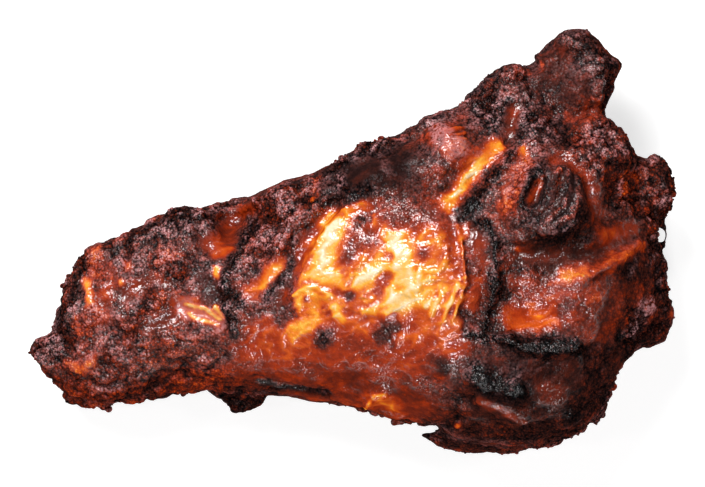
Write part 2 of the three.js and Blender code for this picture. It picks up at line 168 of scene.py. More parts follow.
FAN_RIDGES = [
    Mark("fan ridge %d" % angle, [fan_spot(angle, FAN_START), fan_spot(angle, FAN_END)], 1.5, 0.44, 0.1, 0.2)
    for angle in FAN_ANGLES
]
MARKS = [
    # Broad fields
    Mark("knuckle end", [(90, 330), (160, 360)], 70, 0.66, 0.75, 0),
    Mark("lower knuckle crust", [(85, 390), (215, 388)], 22, 0.64, 0.8, 0),
    Mark("knuckle rim crust", [(74, 258), (64, 300), (58, 335), (45, 352)], 14, 0.78, 1.0, 0),
    Mark("back ridge crust", [(85, 250), (150, 222), (180, 208), (260, 196), (330, 172)], 20, 0.72, 1.0, 0),
    Mark("glossy belly", [(262, 350), (340, 355), (440, 350)], 32, 0.52, 0.1, 0),
    Mark("belly glow", [(404, 330), (452, 340)], 12, 0.43, 0.05, 0),
    Mark("belly glow, left", [(262, 330), (290, 348)], 12, 0.44, 0.05, 0),
    Mark("lower belly", [(300, 385), (420, 405)], 20, 0.60, 0.15, 0),
    Mark("shoulder end", [(600, 330), (640, 280)], 60, 0.64, 0.4, 0),
    Mark("lower shoulder", [(500, 385), (600, 385)], 42, 0.79, 0.25, 0),
    Mark("lower shoulder crust", [(600, 350), (590, 395), (560, 425)], 14, 0.82, 0.6, 0),
    Mark("horn", [(560, 60), (575, 110)], 40, 0.80, 0.6, 0),
    Mark("horn rim", [(560, 38), (590, 46), (606, 72), (604, 118)], 9, 0.82, 0.9, 0),
    Mark("shoulder lumps", [(590, 135), (640, 190)], 34, 0.69, 0.95, 0),
    Mark("end rim", [(655, 160), (660, 230), (668, 320), (640, 350)], 15, 0.82, 0.9, 0),
    Mark("end slope", [(628, 232), (630, 268)], 15, 0.84, 0.6, 0),
    Mark("belly edge", [(430, 440), (520, 440), (590, 420), (612, 385)], 17, 0.80, 0.7, 0),
    # Knuckle
    Mark("knuckle strip", [(100, 258), (110, 284), (100, 320)], 10, 0.50, 0.2, -0.7),
    Mark("knuckle cap", [(97, 262), (101, 272)], 9, 0.50, 0.85, 0.5),
    Mark("knuckle fat", [(87, 281), (92, 305)], 4.5, 0.28, 0.1, 0),
    Mark("knuckle pink", [(84, 326), (94, 318)], 11, 0.46, 0.85, 0.5),
    Mark("knuckle flecks, left", [(68, 364)], 5, 0.34, 0.7, 0.3),
    Mark("knuckle flecks, right", [(84, 368), (92, 360)], 6, 0.38, 0.3, 0.2),
    Mark("amber bead", [(131, 266)], 5, 0.36, 0.2, 0.5),
    Mark("tan bead", [(124, 281)], 5, 0.22, 0.2, 0.3),
    Mark("red valley", [(126, 292), (148, 284), (168, 279)], 8, 0.60, 0.0, -0.8),
    Mark("red valley, low", [(150, 322), (172, 318)], 9, 0.60, 0.1, -0.6),
    Mark("crust rib", [(156, 292), (146, 310), (130, 332)], 9, 0.60, 1.0, 0.9),
    Mark("crust patch", [(165, 262), (180, 272)], 12, 0.62, 1.0, 0.6),
    Mark("maroon shade", [(205, 278), (214, 296)], 9, 0.80, 0.3, -0.5),
    Mark("pale tear", [(184, 307), (202, 313), (220, 321)], 8, 0.43, 0.0, -1.0),
    Mark("pale tear rim", [(176, 300), (196, 300)], 4, 0.46, 0.0, 0.1),
    Mark("tear strand", [(188, 305), (206, 307), (222, 318)], 2.2, 0.15, 0.0, 0.4),
    Mark("tear strand, low", [(192, 314), (206, 320), (220, 324)], 2.2, 0.14, 0.0, 0.4),
    Mark("tear strand, middle", [(196, 309), (214, 318)], 1.8, 0.40, 0.0, 0.3),
    Mark("tear end", [(216, 306), (226, 317)], 3, 0.10, 0.0, 0.4),
    Mark("tear shade", [(178, 304), (186, 314)], 4, 0.52, 0.0, -0.3),
    # Back edge
    Mark("back lump", [(172, 210), (196, 212)], 11, 0.82, 1.0, 0),
    Mark("back pocket", [(232, 222), (250, 212)], 11, 0.56, 0.0, -1.4),
    Mark("back pocket, low", [(212, 244), (230, 236)], 10, 0.58, 0.0, -0.9),
    Mark("pocket glint", [(216, 254), (234, 248)], 5, 0.46, 0.0, -0.3),
    Mark("pocket fat", [(217, 268), (219, 276)], 4, 0.20, 0.0, 0),
    Mark("middle crust", [(270, 225), (300, 200), (325, 190)], 20, 0.67, 1.0, 0.4),
    Mark("ochre flecks", [(312, 197), (321, 176)], 3, 0.40, 0.8, 0),
    Mark("lilac bank", [(258, 250), (276, 240)], 12, 0.66, 0.9, 0.3),
    Mark("amber strip", [(248, 292), (264, 282), (282, 264)], 9.5, 0.35, 0.1, -0.4),
    Mark("amber strip fat", [(265, 283), (277, 271)], 5.5, 0.20, 0.0, 0),
    Mark("bead line", [(252, 222), (240, 250), (228, 276), (226, 300), (236, 334)], 5, 0.92, 1.0, 0.2),
    Mark("bead spur", [(228, 290), (244, 304)], 5, 0.90, 1.0, 0.2),
    Mark("diagonal groove", [(336, 210), (312, 236), (294, 262), (278, 300)], 6, 0.62, 0.0, -0.7),
    Mark("diagonal crust", [(268, 296), (280, 282), (292, 262)], 5, 0.80, 0.8, 0.5),
    Mark("dark dome", [(352, 178), (392, 166)], 26, 0.86, 0.1, 0.4),
    Mark("dome crust", [(340, 182), (350, 198), (372, 196)], 9, 0.92, 0.9, 0.3),
    Mark("dome crust, top", [(330, 166), (356, 150), (386, 141)], 9, 0.82, 1.0, 0.2),
    Mark("dome foot", [(360, 208), (378, 204)], 6, 0.56, 0.0, -0.6),
    Mark("dome glints", [(384, 162), (392, 178)], 4, 0.76, 0.4, 0.2),
    Mark("fan", [(432, 136), (450, 140), (456, 158)], 18, 0.58, 0.35, 0.1),
    *FAN_RIDGES,
    Mark("fan edge", [(404, 132), (430, 116), (456, 106)], 8, 0.70, 0.8, 0),
    Mark("fan crease", [(420, 150), (440, 164), (446, 186)], 6, 0.74, 0.6, -0.4),
    Mark("fan foot", [(438, 172), (428, 196)], 8, 0.60, 0.5, 0),
    # Fat streak and the folds beside it
    Mark("streak bed", [(492, 148), (470, 176), (446, 206), (454, 230)], 11, 0.38, 0.0, -1.0),
    Mark("streak", [(494, 147), (474, 172), (456, 194), (447, 206)], 7, 0.21, 0.0, 0.3),
    Mark("streak loop", [(478, 170), (464, 180), (454, 196)], 2.2, 0.08, 0.0, 0.5),
    Mark("streak end", [(450, 214), (456, 224)], 5, 0.18, 0.0, 0.1),
    Mark("char lip", [(508, 157), (489, 180), (471, 200)], 8, 0.80, 1.0, 0),
    Mark("char lip tip", [(474, 206), (454, 220)], 7, 0.98, 0.7, 0),
    Mark("amber spot", [(520, 150), (522, 156)], 5, 0.20, 0.0, -0.4),
    Mark("red fold", [(520, 168), (508, 190), (500, 216)], 10, 0.48, 0.3, -0.3),
    Mark("red fold bloom", [(522, 168), (511, 188), (503, 208)], 6, 0.44, 0.85, 0.2),
    Mark("ear", [(552, 188), (558, 216)], 24, 0.77, 0.55, 0.3),
    Mark("ear shade", [(576, 212), (560, 240), (530, 248)], 8, 0.92, 0.7, 0),
    Mark("ear lip", [(536, 172), (523, 190), (516, 208)], 5, 0.94, 0.9, 0),
    Mark("ear mouth", [(540, 181), (533, 191), (527, 201)], 3.2, 0.52, 0.0, -1.8),
    Mark("ear ridge one", [(544, 172), (544, 188), (535, 203), (529, 211)], 3, 0.92, 0.5, 0.5),
    Mark("ear ridge two", [(554, 170), (555, 188), (547, 205), (537, 216)], 2.6, 0.60, 0.9, 0.6),
    Mark("ear ridge three", [(563, 172), (565, 190), (558, 207), (545, 221)], 2.6, 0.60, 0.9, 0.6),
    Mark("ear ridge four", [(572, 177), (575, 194), (568, 214), (553, 228)], 2.6, 0.64, 0.9, 0.5),
    Mark("ear groove one", [(549, 171), (550, 188), (541, 204), (533, 214)], 1.8, 0.78, 0.3, -0.35),
    Mark("ear groove two", [(559, 171), (560, 189), (553, 206), (541, 219)], 1.8, 0.80, 0.3, -0.35),
    Mark("ear groove three", [(568, 174), (570, 192), (563, 211), (549, 225)], 1.8, 0.87, 0.2, -0.35),
    Mark("ear crease", [(552, 160), (566, 160), (584, 178), (590, 200)], 5, 0.53, 0.3, -0.8),
    Mark("ear slope", [(590, 190), (596, 214)], 9, 0.58, 0.2, -0.4),
    Mark("edge knob", [(650, 172), (654, 196)], 10, 0.66, 1.0, 0.2),
    Mark("fold below ear", [(508, 222), (520, 240)], 9, 0.64, 0.6, 0.4),
    # Horn
    Mark("horn face", [(552, 66), (572, 92)], 18, 0.72, 0.3, 0),
    Mark("horn glow", [(568, 120), (594, 108)], 8, 0.53, 0.5, -0.2),
    Mark("horn notch", [(539, 62), (541, 68)], 2.6, 0.48, 0.5, -0.4),
    Mark("notch fleck", [(527, 69), (530, 74)], 2.4, 0.46, 0.5, 0),
    Mark("horn fleck", [(495, 89)], 4, 0.42, 0.6, 0),
    Mark("horn foot crust", [(490, 112), (510, 118), (530, 126)], 16, 0.84, 1.0, 0.3),
    Mark("horn foot groove", [(512, 112), (506, 134)], 6, 0.60, 0.1, -1.0),
    Mark("horn foot back", [(470, 100), (500, 82), (520, 76)], 9, 0.72, 0.95, 0.2),
    # Shoulder
    Mark("shelf", [(514, 256), (560, 260), (596, 250), (622, 234)], 11, 0.74, 0.15, -1.1),
    Mark("shelf amber", [(516, 256), (562, 256)], 5, 0.66, 0.1, 0),
    Mark("shelf tan", [(600, 236), (630, 228)], 8, 0.53, 0.0, 0.3),
    Mark("shelf bead", [(510, 252)], 4, 0.42, 0.3, 0.3),
    Mark("tan bead, right", [(582, 246), (588, 244)], 3, 0.44, 0.3, 0.3),
    Mark("orange ridge", [(550, 281), (578, 273), (606, 262), (634, 245)], 8, 0.44, 0.3, 0),
    Mark("orange ridge fat", [(560, 279), (582, 273)], 5, 0.25, 0.3, 0),
    Mark("red bank", [(515, 282), (560, 294), (590, 290)], 10, 0.54, 0.3, 0.2),
    Mark("orange hollow", [(512, 314), (544, 310)], 14, 0.43, 0.05, -0.9),
    Mark("orange hollow glow", [(514, 322), (546, 320)], 8, 0.36, 0.0, -0.2),
    Mark("hollow end", [(566, 316), (590, 330)], 10, 0.58, 0.3, 0),
    Mark("char line", [(486, 222), (493, 246), (490, 272), (487, 314), (482, 334)], 3.6, 0.97, 1.0, 0.2),
    Mark("char knot", [(491, 280), (498, 292)], 7.5, 0.98, 1.0, 0.3),
    Mark("char fork", [(478, 222), (476, 238)], 3, 0.95, 1.0, 0.2),
    Mark("char slope", [(474, 234), (478, 262)], 7, 0.59, 0.1, 0),
    Mark("char slope, low", [(475, 278), (470, 306)], 7, 0.48, 0.1, 0),
    Mark("char bank", [(512, 342), (534, 346), (548, 344)], 11, 0.99, 0.9, 0.4),
    Mark("char bank, left", [(466, 332), (490, 337), (510, 341)], 4, 0.97, 1.0, 0.3),
    Mark("char bank, right", [(548, 342), (566, 342), (580, 350)], 7, 0.96, 0.9, 0.3),
    Mark("char blister, left", [(476, 374), (486, 381)], 14, 1.0, 0.75, 0.8),
    Mark("char blister, right", [(507, 383), (516, 389)], 12, 1.0, 0.75, 0.8),
    Mark("black bump", [(570, 415)], 8, 0.95, 0.5, 0.4),
    Mark("ember", [(544, 387), (552, 394)], 9, 0.64, 0.2, 0),
    Mark("skin strip", [(478, 398), (500, 410), (522, 420)], 4, 0.60, 0.0, 0.5),
    Mark("end grains", [(634, 316), (626, 336)], 11, 0.80, 1.0, 0.3),
    Mark("end bead", [(672, 314)], 5, 0.54, 0.1, 0.2),
    Mark("flap wedge edge", [(457, 426)], 3, 0.34, 0.2, 0),
    Mark("drip", [(459, 453)], 3, 0.46, 0.1, 0),
    # Lower edge
    # The lower slit's dark browning is painted shadow in its fold.
    Mark("lower slit", [(258, 381), (288, 388), (326, 393)], 4, 0.86, 0.4, -1.0),
    Mark("slit shade", [(350, 380), (362, 379)], 7, 0.64, 0.1, -0.3),
    Mark("slit bead", [(322, 387), (330, 390)], 3, 0.80, 0.8, 0.4),
    Mark("lower strip", [(284, 397), (330, 403), (356, 407)], 6, 0.50, 0.1, 0.3),
    Mark("tatter", [(374, 399), (388, 405), (396, 410)], 9, 0.46, 0.05, 0.5),
    Mark("tatter rim", [(364, 410), (374, 395), (386, 393)], 1.8, 0.28, 0.0, 0.4),
    Mark("tatter glow", [(380, 400), (390, 404)], 4, 0.34, 0.0, -0.3),
    Mark("strip shade", [(270, 398), (286, 400)], 6, 0.70, 0.3, 0),
    Mark("crumb", [(226, 400), (258, 402)], 10, 0.88, 0.9, 0),
    Mark("crumb fleck", [(244, 401)], 3, 0.50, 0.3, 0),
    # Golden window
    Mark("window", [(330, 240), (322, 290), (380, 292), (440, 290), (440, 244), (390, 232)],
         22, 0.30, 0.0, 0),
    Mark("window middle", [(360, 262), (420, 272)], 20, 0.29, 0.0, 0),
    Mark("window foot", [(310, 325), (370, 322), (440, 325)], 12, 0.40, 0.05, 0),
    Mark("left plate", [(338, 222), (327, 245), (318, 266)], 10, 0.06, 0.0, 0.35),
    Mark("left plate foot", [(312, 273), (338, 279)], 7, 0.14, 0.0, 0.1),
    Mark("left plate top", [(344, 214), (362, 206)], 5, 0.32, 0.0, 0),
    Mark("top wedge", [(376, 214), (370, 228)], 3, 0.24, 0.0, 0.4),
    Mark("red blotch", [(366, 233), (353, 247), (348, 260)], 8, 0.60, 0.1, 0.1),
    Mark("middle oval", [(362, 281), (372, 272), (381, 264)], 7, 0.05, 0.0, 0.4),
    Mark("tall plate", [(394, 237), (398, 255), (404, 278)], 8, 0.07, 0.0, 0.35),
    Mark("right plate", [(393, 297), (404, 298), (412, 292)], 10, 0.06, 0.0, 0.35),
    Mark("right plate arm", [(412, 292), (424, 286), (432, 279)], 4, 0.10, 0.0, 0.3),
    Mark("yellow corner", [(421, 284), (425, 291)], 6, 0.17, 0.0, -0.2),
    Mark("yellow pool", [(316, 306), (317, 318)], 7, 0.19, 0.0, -0.3),
    Mark("pink plate", [(299, 303), (308, 297)], 8, 0.18, 0.15, 0.3),
    Mark("left strand", [(293, 295), (316, 287), (331, 293)], 2.4, 0.14, 0.0, 0.5),
    Mark("red bead", [(307, 298)], 2.5, 0.50, 0.0, 0.3),
    # A pale patch painted where the wet skin shows a highlight: a painted highlight.
    Mark("pink patch, painted highlight", [(294, 333), (308, 322)], 9, 0.20, 0.1, 0.2),
    Mark("small plate", [(336, 309), (341, 317)], 6, 0.14, 0.0, 0.2),
    Mark("low plate", [(364, 311), (374, 308)], 5, 0.20, 0.0, 0.3),
    Mark("low right plate", [(384, 312), (396, 304)], 4, 0.14, 0.0, 0.3),
    Mark("brown crease", [(338, 292), (352, 297)], 4, 0.54, 0.15, -0.3),
    Mark("brown crease, right", [(378, 290), (387, 276)], 5, 0.52, 0.2, -0.3),
    Mark("brown crease, low", [(350, 310), (366, 319), (392, 318)], 5, 0.46, 0.1, -0.3),
    Mark("upper red", [(386, 208), (392, 220), (402, 214)], 10, 0.64, 0.4, 0.3),
    Mark("upper red, right", [(414, 222), (430, 214), (442, 222)], 9, 0.56, 0.35, 0.1),
    Mark("red bead, right", [(421, 254)], 6, 0.55, 0.2, 0.2),
    Mark("right pinks", [(436, 236), (441, 262)], 6, 0.34, 0.1, 0.2),
    Mark("right loop", [(424, 270), (438, 272), (443, 262), (446, 248)], 1.8, 0.24, 0.0, 0.4),
    Mark("cross line", [(430, 279), (454, 280), (463, 276)], 1.6, 0.26, 0.0, 0.4),
    Mark("right red", [(452, 238), (452, 264)], 6, 0.52, 0.0, -0.2),
    Mark("stretch line", [(455, 226), (460, 246), (462, 274)], 2, 0.36, 0.0, 0.6),
    Mark("stretch line, low", [(463, 277), (459, 298), (452, 316)], 2, 0.26, 0.0, 0.5),
    Mark("ray one", [(456, 285), (448, 302), (440, 318)], 2.4, 0.14, 0.0, 0.5),
    Mark("ray two", [(444, 286), (436, 300), (428, 314)], 2.2, 0.16, 0.0, 0.4),
    Mark("ray three", [(432, 292), (424, 306)], 2.2, 0.14, 0.0, 0.4),
    Mark("ray base", [(420, 324), (440, 330), (456, 322)], 7, 0.36, 0.05, 0),
    Mark("light ridge", [(418, 266), (417, 284)], 2.4, 0.12, 0.0, 0.4),
    Mark("bridge", [(345, 286), (356, 272), (366, 258)], 2.6, 0.24, 0.0, 0.5),
    Mark("maroon spot, left", [(325, 335)], 9, 0.82, 0.8, 0.4),
    Mark("maroon spot, middle", [(383, 334), (390, 326)], 9, 0.76, 0.4, 0.4),
    Mark("maroon spot, right", [(441, 363)], 9, 0.86, 0.25, 0.5),
    Mark("maroon spot, small", [(349, 297)], 5, 0.72, 0.3, 0.3),
    Mark("pale edge line", [(345, 208), (326, 228), (312, 254), (300, 284)], 1.8, 0.30, 0.0, 0.4),
]

# Marks with more crust than this have ragged edges. A stroke's share of a place falls off with these
# steepnesses, and is left out past so many times its reach.
RAGGED_CRUST = 0.25
STROKE_MARGIN = 3
PAINT_STEEPNESS = 3
LIFT_STEEPNESS = 2

# Spots where the skin is dull, and spots with a painted lilac sheen, a painted highlight that at the torn
# meat also pales its own colour. A path and a reach are in picture pixels, and a spot fades out over a range
# of shares of its reach.
Spot = namedtuple("Spot", "name path reach")
SPOT_EDGE = (0.5, 1.1)
DULL_SPOTS = [
    Spot("horn face", [(552, 62), (574, 94)], 26),
    Spot("dome", [(352, 172), (392, 164)], 28),
    Spot("fan foot", [(405, 176), (424, 200)], 15),
    Spot("below char bank", [(480, 362), (560, 368)], 20),
    Spot("orange hollow", [(512, 318), (546, 316)], 13),
    Spot("end ridge", [(600, 345), (612, 310), (622, 280)], 14),
]
PAINTED_SHEEN_SPOTS = [
    Spot("tear", [(186, 306), (204, 312), (220, 320)], 10),
    Spot("crust rib", [(158, 288), (146, 310), (132, 334)], 8),
    Spot("crust patch", [(166, 262), (182, 270)], 9),
    Spot("knuckle lump", [(82, 324), (95, 312)], 8),
    Spot("knuckle spur", [(48, 320), (58, 346)], 10),
    Spot("back lumps", [(150, 230), (186, 226)], 10),
    Spot("lilac bank, high", [(252, 238), (264, 232)], 7),
    Spot("lilac bank", [(254, 254), (276, 240)], 11),
    Spot("diagonal crust", [(266, 300), (280, 284)], 6),
    Spot("middle crust", [(272, 222), (304, 204)], 9),
    Spot("fan edge", [(426, 122), (452, 112)], 9),
    Spot("horn foot", [(468, 98), (496, 80)], 11),
    Spot("shoulder lumps", [(584, 138), (606, 134), (618, 156)], 11),
    Spot("edge knob", [(652, 168), (660, 200)], 11),
    Spot("end grains", [(644, 304), (632, 334)], 9),
    Spot("fold beside ear", [(520, 172), (508, 196)], 9),
    Spot("fan", [(438, 134), (456, 150)], 14),
]

# Browning scale: share of the way from pale fat to black char, and its colour in sRGB.
BROWNING_SCALE = [
    (0.00, (242, 222, 186)),
    (0.10, (232, 188, 120)),
    (0.17, (240, 172, 58)),
    (0.25, (230, 132, 32)),
    (0.36, (206, 86, 24)),
    (0.50, (160, 50, 16)),
    (0.62, (112, 36, 18)),
    (0.75, (70, 29, 21)),
    (0.88, (37, 20, 18)),
    (1.00, (6, 6, 7)),
]

# Colour of the painted lilac sheen, a painted highlight, in sRGB, and the way that crust with most of it
# faces, roughly towards the key softbox.
PAINTED_SHEEN_COLOUR = (206, 150, 153)
PAINTED_SHEEN_SIDE = (-0.27, 0.50, 0.82)

# Browning and crust where no mark reaches, and those of the underside.
PLAIN_BROWNING = 0.70
PLAIN_CRUST = 0.7
UNDERSIDE_BROWNING = 0.82
UNDERSIDE_CRUST = 0.55

# A swell is noise of a strength in the unit of what it changes, a size in millimetres, a seed and a number
# of octaves.
Swell = namedtuple("Swell", "strength size seed octaves", defaults=[3])
SWAYS = (Swell(2, 3.0, 61, 2), Swell(2, 3.0, 71, 2))
FRAYS = (Swell(3, 1.2, 41), Swell(3, 1.2, 51))
LIFT_SPREAD = Swell(0.25, 2.4, 65)
PAINT_SPREAD = Swell(0.3, 2.0, 35)
SKIN_SWELL = Swell(0.35, 6.0, 81)
TONE_SWELL = Swell(0.06, 1.5, 131)
UNDERSIDE_TONES = Swell(0.12, 7.0, 91)
UNDERSIDE_PATCHES = Swell(0.7, 8.0, 95)
SHEEN_PATCHES = Swell(1, 4.0, 181)
GRAIN_CLUMPS = Swell(1, 2.0, 171)
PEBBLE_BENDS = (Swell(0.6, 2.6, 151), Swell(0.6, 2.6, 152), Swell(0.6, 2.6, 153))

# Wrinkles of the smooth skin run at this angle from +X, and are this much longer than wide. Depth is in
# millimetres, and level is the height of a wrinkle that lies on the skin. Their painted shading lightens the
# ridges as a painted highlight and darkens the valleys as painted shade, either side of its own level.
WRINKLE_ANGLE = 28
WRINKLE_STRETCH = 2.2
WRINKLES = Swell(1, 1.5, 121, 2)
WRINKLE_DEPTH = 0.22
WRINKLE_LEVEL = 0.4
WRINKLE_PAINTED_SHADING = 0.16
WRINKLE_PAINTED_SHADING_LEVEL = 0.45

# Pebbled crust of three sizes. Size and depth are in millimetres, level is the height that lies on the skin,
# least is the part of the depth that doesn't vary from pebble to pebble, and tone is how much browning does.
# A pebble's edge is at this squared distance from its middle, in pebble sizes.
Pebbling = namedtuple("Pebbling", "size seed depth level least tone")
LUMPS = Pebbling(3.8, 101, 1.0, 0.62, 0.4, 0.10)
BITS = Pebbling(1.7, 111, 0.6, 0.6, 0.3, 0.06)
CRUMBS = Pebbling(0.8, 115, 0.28, 0.6, 0.2, 0)
PEBBLE_EDGE = 0.5

# Painted shade that crevices between lumps and gaps between crumbs add to the browning, and what crust takes
# off it. The painted shade doesn't darken a point past the darkest crust. Low places on the sides get painted
# shade after that, and bumps there painted light.
CREVICE_PAINTED_SHADE = 0.16
CRUMB_GAP_PAINTED_SHADE = 0.18
CRUST_PALING = 0.10
DARKEST_CRUST = 0.9
SIDE_PAINTED_SHADING = 0.14

# Painted sheen where the crust has least of it, and what patches add; on bumps of the sides; in the spots of
# painted sheen. Shares of it that wrinkled skin and the gaps between crumbs lose.
LEAST_SHEEN = 0.28
PATCH_SHEEN = 0.62
SIDE_SHEEN = 0.24
SPOT_SHEEN = 0.8
WRINKLE_SHEEN_LOSS = 0.75
CRUMB_GAP_SHEEN_LOSS = 0.85

# Shine of skin that doesn't face up, and of char. Shares of it that crust, crevices, dark skin and dull spots
# lose.
SIDE_SHINE = 0.02
CHAR_SHINE = 0.9
CRUST_SHINE_LOSS = 0.2
CREVICE_SHINE_LOSS = 0.8
DARK_SKIN_SHINE_LOSS = 0.9
DULL_SPOT_SHINE_LOSS = 0.85

# Share of its wrinkles that well browned skin loses, the bump height at which a side gets neither painted
# shade nor painted light, and the share of its loose grains that a side keeps.
STIFF_WRINKLE_LOSS = 0.5
SIDE_BUMP_LEVEL = 0.6
SIDE_GRAINS = 0.3

# Ranges over which something goes from none to all. A slope is 1 where the skin faces up, 0 where it is
# upright and -1 where it faces down. Moved and grainy heights are above the table, in millimetres, and the
# others are pebble heights from 0 to 1.
MARKED_SLOPES = (-0.05, 0.4)
FLAT_SLOPES = (0.1, 0.5)
PAINTED_SHEEN_SLOPES = (-0.1, 0.3)
GRAINY_SLOPES = (-0.2, 0.5)
SHINY_SLOPES = (0.68, 0.86)
MOVED_HEIGHTS = (0.1, 2.0)
GRAINY_HEIGHTS = (1.0, 2.5)
STIFF_BROWNINGS = (0.40, 0.60)
DARK_SKIN_BROWNINGS = (0.66, 0.80)
SHEENLESS_BROWNINGS = (0.86, 0.94)
CHAR_BROWNINGS = (0.9, 0.97)
BEAD_BROWNINGS = (0.9, 0.98)
BEAD_CRUSTS = (0.5, 0.8)
PEBBLE_CRUSTS = (0.7, 0.95)
CREVICE_HEIGHTS = (0.1, 0.55)
CRUMB_GAP_HEIGHTS = (0.05, 0.5)
BUMP_HEIGHTS = (0.35, 0.8)
LIT_SIDES = (0.35, 0.9)
PATCH_RANGE = (-0.4, 0.4)
CLUMP_RANGE = (-0.1, 0.5)

# Loose grains: the icosphere's subdivisions, the name of their density, spacing and radii in millimetres, and
# a seed. Each is stretched and turned at random.
Scatter = namedtuple("Scatter", "name sides density spacing smallest largest seed")
SCATTERS = [
    Scatter("crust_grains", 1, "grains", 0.5, 0.1, 0.32, 5),
    Scatter("crust_pebbles", 2, "pebbles", 1.5, 0.25, 0.7, 3),
    Scatter("char_beads", 2, "beads", 0.6, 0.15, 0.45, 9),
]
LEAST_STRETCH = (0.7, 0.7, 0.6)
MOST_STRETCH = (1.4, 1.1, 1.0)
FULL_TURN = (math.tau, math.tau, math.tau)
MOST_GRAINS = 1e8

# Roasted finish. Sizes are in millimetres. A pair is a factor and an offset: for the tone of each granule,
# its painted shade from foot to top, the painted sheen of its top, its dullness, and the mottle's strength by
# crust.
GRANULE_SIZE = 0.36
GRANULE_TONE = (0.22, -0.11)
GRANULE_SHADE = (-0.34, 0.18)
GRANULE_SHEEN = (2.8, -0.9)
GRANULE_DULLNESS = (-1.2, 1)
MOTTLE_SIZE = 0.6
MOTTLE_DETAIL = 4
MOTTLE_STRENGTH = (0.10, 0.12)
FINE_WRINKLE_SIZE = 1.3
FINE_WRINKLE_DETAIL = 2
FINE_WRINKLE_DISTORTION = 0.6
UNEVEN_SIZE = 0.35
UNEVEN_DETAIL = 1
UNEVEN_STRENGTH = 0.4
RELIEF_DEPTH = 0.22
SKIN_COAT_ROUGHNESS = 0.17
CRUST_COAT_ROUGHNESS = 0.12
CRUST_TONE = -0.04
ROASTED_SOCKETS = {
    "Coat IOR": 1.8,
    "Specular IOR Level": 0,
    "Roughness": 0.42,
    "Subsurface Weight": 0.06,
    "Subsurface Radius": (1.0, 0.45, 0.2),
    "Subsurface Scale": 0.6 * MM,
}

# Studio, in metres and watts, with the sensor in millimetres. A softbox is a name, a place, a width and a
# power.
SOFTBOXES = [
    ("key", (-0.20, 0.36, 0.48), 0.26, 4.4),
    ("front", (0.06, -0.36, 0.50), 0.12, 1.5),
    ("left", (-0.40, -0.06, 0.46), 0.07, 0.2),
    ("right", (0.40, 0.06, 0.46), 0.07, 0.2),
    ("low_front", (0.02, -0.52, 0.20), 0.08, 0.25),
]
SURROUNDINGS_STRENGTH = 0.06
FLOOR_SIZE = 1.5
FLOOR_SOCKETS = {
    "Base Color": (0.55, 0.55, 0.55, 1),
    "Roughness": 0.7,
    "Emission Color": (1, 1, 1, 1),
    "Emission Strength": 0.7,
}
CAMERA_HEIGHT = 0.9
FOCUS_HEIGHT = 0.010
SENSOR_WIDTH = 36
CLIP_START = 0.01


def linear(colour):
    """An sRGB colour of 0 to 255 as linear light, with full alpha."""
    shares = [c / 255 for c in colour]
    return [s / 12.92 if s <= 0.04045 else ((s + 0.055) / 1.055) ** 2.4 for s in shares] + [1.0]


def smoothstep(low, high, values):
    """0 below low, 1 above high, and a smooth rise between them."""
    share = np.clip((values - low) / (high - low), 0, 1)
    return share * share * (3 - 2 * share)


# Noise that is the same on every run, over points in millimetres

def cell_random(cells, seed):
    """Three numbers from 0 to 1 for each whole-numbered cell, mixed from its place by large odd factors."""
    x, y, z = (cells.astype(np.int64) + 4096).T
    mixed = (x * 73856093) ^ (y * 19349663) ^ (z * 83492791) ^ (seed * 2654435761)
    numbers = []
    for _ in range(3):
        mixed = ((mixed ^ (mixed >> 15)) * 2246822519) & 0xFFFFFFFF
        mixed = ((mixed ^ (mixed >> 13)) * 3266489917) & 0xFFFFFFFF
        numbers.append(mixed / 0xFFFFFFFF)
    return np.stack(numbers, axis=1)


def cloud(points, size, seed):
    """Soft noise from -1 to 1 whose swells are as large as size."""
    cells = np.floor(points / size)
    share = points / size - cells
    share = share * share * (3 - 2 * share)
    total = np.zeros(len(points))
    for corner in itertools.product((0, 1), repeat=3):
        weight = np.prod(np.where(corner, share, 1 - share), axis=1)
        total += weight * cell_random(cells + corner, seed)[:, 0]
    return 2 * total - 1


def clouds(points, size, seed, octaves=3):
    """Noise of several sizes, each half as large and half as strong as the last."""
    return sum(cloud(points, size / 2 ** i, seed + i) / 2 ** i for i in range(octaves))


def swells(points, kind):
    """The noise of a kind of swell."""
    return kind.strength * clouds(points, kind.size, kind.seed, kind.octaves)


Pebbles = namedtuple("Pebbles", "height number")


def pebbles(points, kind):
    """Height from 0 to 1 of rounded pebbles packed side by side, and a random number for each pebble."""
    scaled = points / kind.size
    cells = np.floor(scaled)
    nearest = np.full(len(points), np.inf)
    number = np.zeros(len(points))
    for offset in itertools.product((-1, 0, 1), repeat=3):
        random = cell_random(cells + offset, kind.seed)
        distance = ((cells + offset + random - scaled) ** 2).sum(axis=1)
        closer = distance < nearest
        nearest[closer] = distance[closer]
        number[closer] = random[closer, 0]
    return Pebbles(np.clip(1 - nearest / PEBBLE_EDGE, 0, 1), number)


# Places in the picture

def plan(points):
    """Picture pixels of points in millimetres, looked at from straight above."""
    across = PICTURE_MIDDLE[0] + points[:, 0] * MM / PIXEL
    down = PICTURE_MIDDLE[1] - points[:, 1] * MM / PIXEL
    return np.stack([across, down], axis=1)


def place(spot, height=0.0):
    """The point in metres at a picture pixel and a height."""
    return Vector(((spot[0] - PICTURE_MIDDLE[0]) * PIXEL, (PICTURE_MIDDLE[1] - spot[1]) * PIXEL, height))


def path_distance(spots, path):
    """Distance of spots from a path of straight stretches."""
    path = np.array(path, float)
    starts, ends = (path[:-1], path[1:]) if len(path) > 1 else (path, path)
    nearest = np.full(len(spots), np.inf)
    for start, end in zip(starts, ends):
        run = end - start
        share = np.clip((spots - start) @ run / max(run @ run, 1e-9), 0, 1)
        nearest = np.minimum(nearest, np.linalg.norm(spots - start - share[:, None] * run, axis=1))
    return nearest


